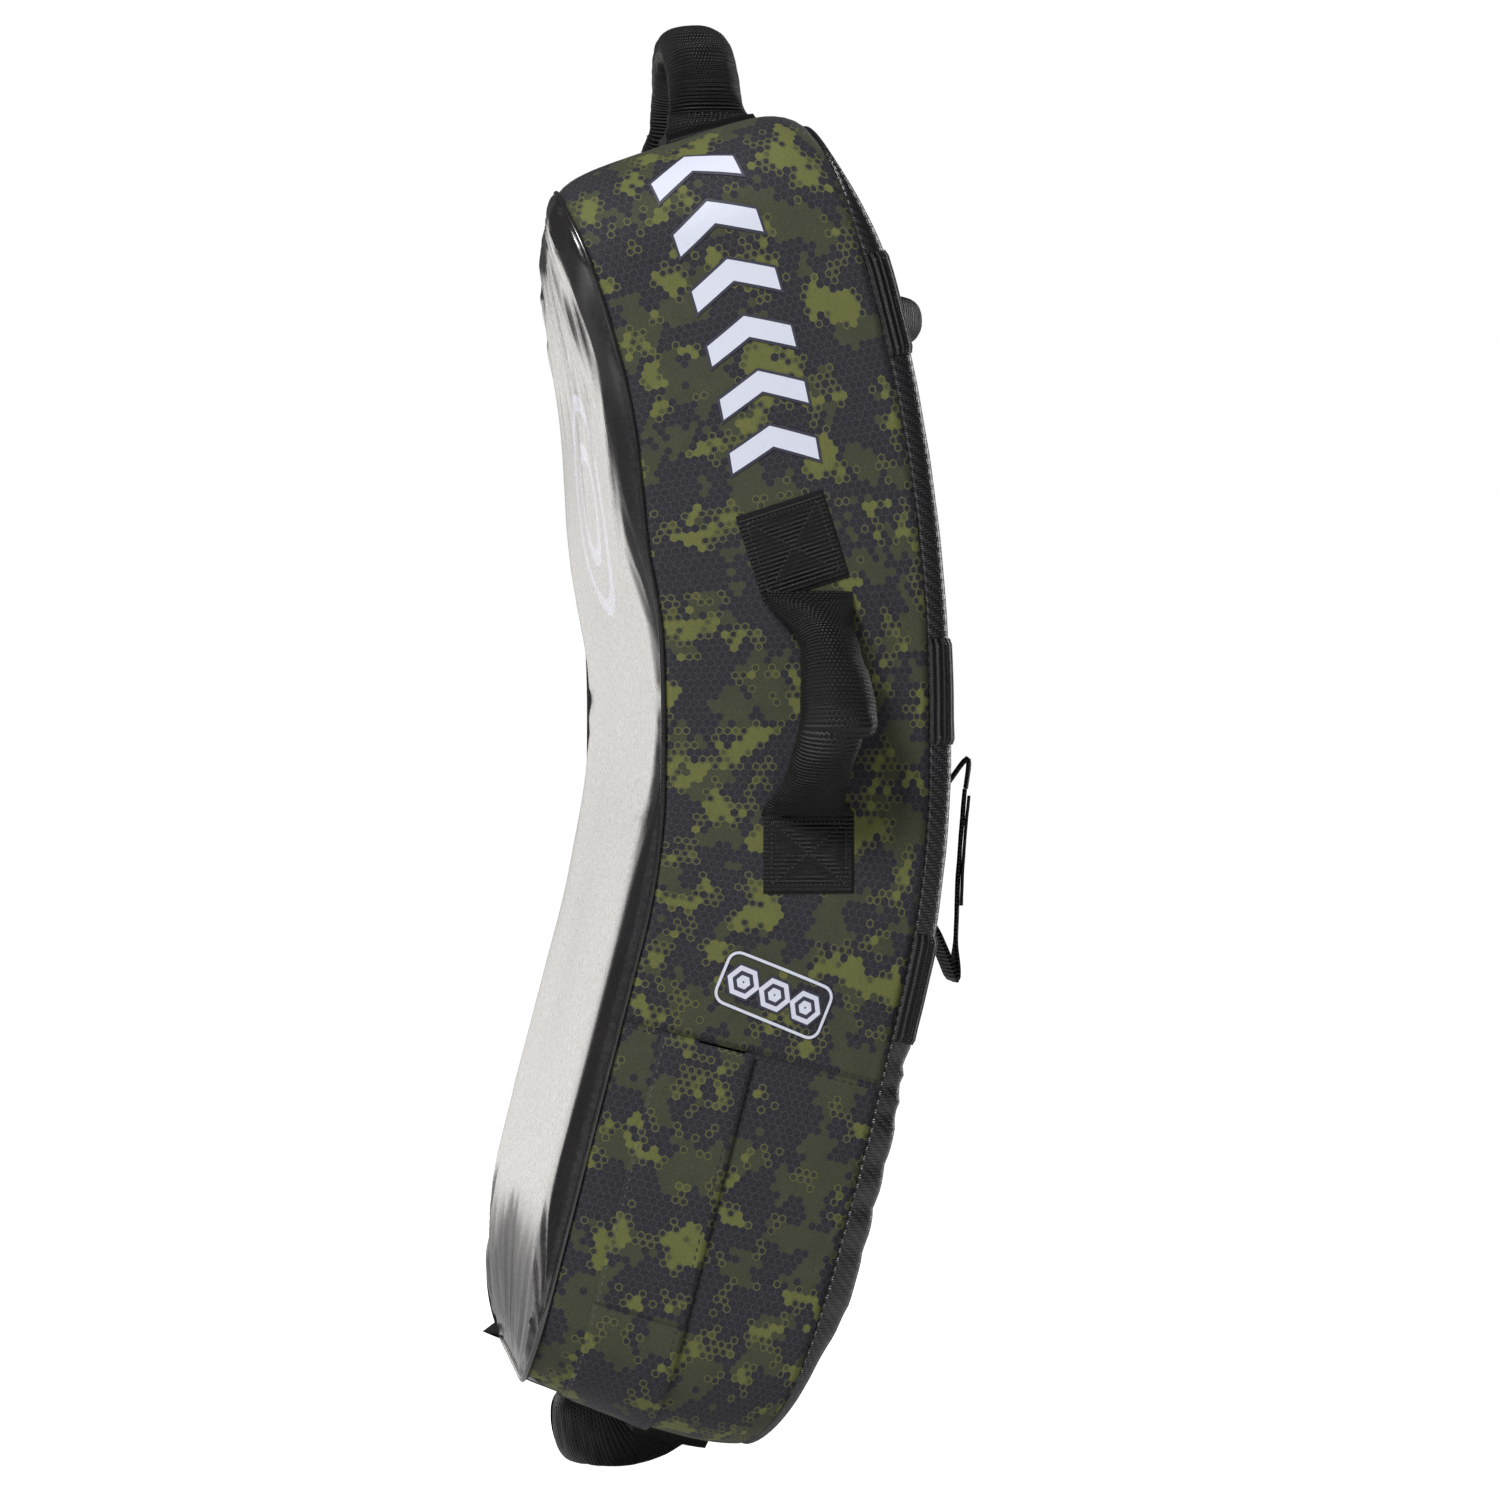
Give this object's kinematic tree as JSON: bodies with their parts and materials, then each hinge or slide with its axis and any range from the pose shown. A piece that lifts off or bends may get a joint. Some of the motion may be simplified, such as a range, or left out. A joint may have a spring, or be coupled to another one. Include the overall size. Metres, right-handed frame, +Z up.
{
  "type": "curved kick shield",
  "caption": "Curved padded kick shield with a zipped cover, padded handles on its sides and ends, a back grip and forearm straps.",
  "frame": {"origin": "on the strike face, at the middle of its width and at the height where the bent pad stands vertical", "axes": "+Z up the shield, -X out of the strike face, +X out of the back towards the holder, Y across the width"},
  "size_m": [0.2717, 0.4478, 0.8225],
  "materials": {
    "strike_vinyl": "semi-gloss black polyurethane with a soft silver sheen",
    "back_vinyl": "black polyurethane embossed with a diagonal twill",
    "camo_fabric": "matte printed polyester, charcoal and olive hexagon camouflage",
    "webbing": "black ribbed polyester webbing",
    "sleeve": "black ribbed nylon over padding",
    "dense_foam": "firm white polyethylene foam",
    "soft_foam": "soft grey-blue foam",
    "zip_tape": "black woven tape",
    "zip_coil": "black nylon coil",
    "zip_metal": "black lacquered zinc",
    "hook_tape": "black hook-and-loop tape on webbing"
  },
  "bodies": {
    "shield": {"strike_foam_layer": "soft_foam", "core_foam": "dense_foam", "back_foam_layer": "soft_foam", "strike_panel": "strike_vinyl", "back_panel": "back_vinyl", "upper_gusset": "camo_fabric", "lower_gusset_front": "camo_fabric", "lower_gusset_back": "camo_fabric", "front_piping": "strike_vinyl", "zip_tape": "zip_tape", "zip_coil": "zip_coil", "zip_stop_left": "zip_metal", "zip_stop_right": "zip_metal", "bottom_zip_flap": "camo_fabric", "upper_back_band": "webbing", "middle_back_band": "webbing", "lower_back_band": "webbing", "top_handle_left_anchor": "webbing", "top_handle_right_anchor": "webbing", "bottom_handle_left_anchor": "webbing", "bottom_handle_right_anchor": "webbing", "left_handle_upper_anchor": "webbing", "left_handle_lower_anchor": "webbing", "right_handle_upper_anchor": "webbing", "right_handle_lower_anchor": "webbing", "back_grip_left_anchor": "webbing", "back_grip_right_anchor": "webbing", "left_forearm_loop": "webbing", "right_forearm_loop": "webbing"},
    "top_handle": {"top_handle_sleeve": "sleeve", "top_handle_padding": "soft_foam", "top_handle_strap": "webbing"},
    "bottom_handle": {"bottom_handle_sleeve": "sleeve", "bottom_handle_padding": "soft_foam", "bottom_handle_strap": "webbing"},
    "left_handle": {"left_handle_sleeve": "sleeve", "left_handle_padding": "soft_foam", "left_handle_strap": "webbing"},
    "right_handle": {"right_handle_sleeve": "sleeve", "right_handle_padding": "soft_foam", "right_handle_strap": "webbing"},
    "back_grip": {"back_grip_sleeve": "sleeve", "back_grip_padding": "soft_foam", "back_grip_strap": "webbing"},
    "left_forearm_tail": {"left_forearm_tail": "hook_tape"},
    "left_zip_flap": {"left_zip_flap": "camo_fabric"},
    "right_forearm_tail": {"right_forearm_tail": "hook_tape"},
    "right_zip_flap": {"right_zip_flap": "camo_fabric"},
    "zip_slider": {"zip_slider": "zip_metal"},
    "zip_pull": {"zip_pull": "zip_metal"}
  },
  "joints": [
    {"name": "top_handle_swing", "type": "hinge", "parent": "shield", "child": "top_handle", "pos_m": [0.04425, 0, 0.32851], "axis": [0, 1, 0], "range_deg": [-65, 30]},
    {"name": "bottom_handle_swing", "type": "hinge", "parent": "shield", "child": "bottom_handle", "pos_m": [0.03175, 0, -0.38041], "axis": [0, 1, 0], "range_deg": [-95, 0]},
    {"name": "left_handle_swing", "type": "hinge", "parent": "shield", "child": "left_handle", "pos_m": [0.08696, -0.175, 0.02], "axis": [0, 0, 1], "range_deg": [-60, 28]},
    {"name": "right_handle_swing", "type": "hinge", "parent": "shield", "child": "right_handle", "pos_m": [0.08696, 0.175, 0.02], "axis": [0, 0, -1], "range_deg": [-60, 28]},
    {"name": "back_grip_swing", "type": "hinge", "parent": "shield", "child": "back_grip", "pos_m": [0.14122, 0, 0.2417], "axis": [0, 1, 0], "range_deg": [-48, 22]},
    {"name": "left_forearm_tail_peel", "type": "hinge", "parent": "shield", "child": "left_forearm_tail", "pos_m": [0.19696, -0.072, -0.026], "axis": [0, -1, 0], "range_deg": [0, 100]},
    {"name": "right_forearm_tail_peel", "type": "hinge", "parent": "shield", "child": "right_forearm_tail", "pos_m": [0.19696, 0.072, -0.026], "axis": [0, -1, 0], "range_deg": [0, 100]},
    {"name": "zip_slide", "type": "slide", "parent": "shield", "child": "zip_slider", "axis": [-0.2504, 0, -0.9681], "range_m": [0, 0.11]},
    {"name": "left_zip_flap_lift", "type": "hinge", "parent": "shield", "child": "left_zip_flap", "pos_m": [-0.01154, -0.1756, -0.23226], "axis": [-0.2504, 0, -0.9681], "range_deg": [0, 110]},
    {"name": "right_zip_flap_lift", "type": "hinge", "parent": "shield", "child": "right_zip_flap", "pos_m": [-0.01154, 0.1756, -0.23226], "axis": [0.2504, 0, 0.9681], "range_deg": [0, 110]},
    {"name": "zip_pull_lift", "type": "hinge", "parent": "zip_slider", "child": "zip_pull", "pos_m": [0.03575, -0.17245, -0.1852], "axis": [-0.9681, 0, 0.2504], "range_deg": [0, 100]}
  ],
  "couplings": [
    {"joint": "zip_pull_lift", "follows": "left_zip_flap_lift", "ratio": 0.8}
  ]
}
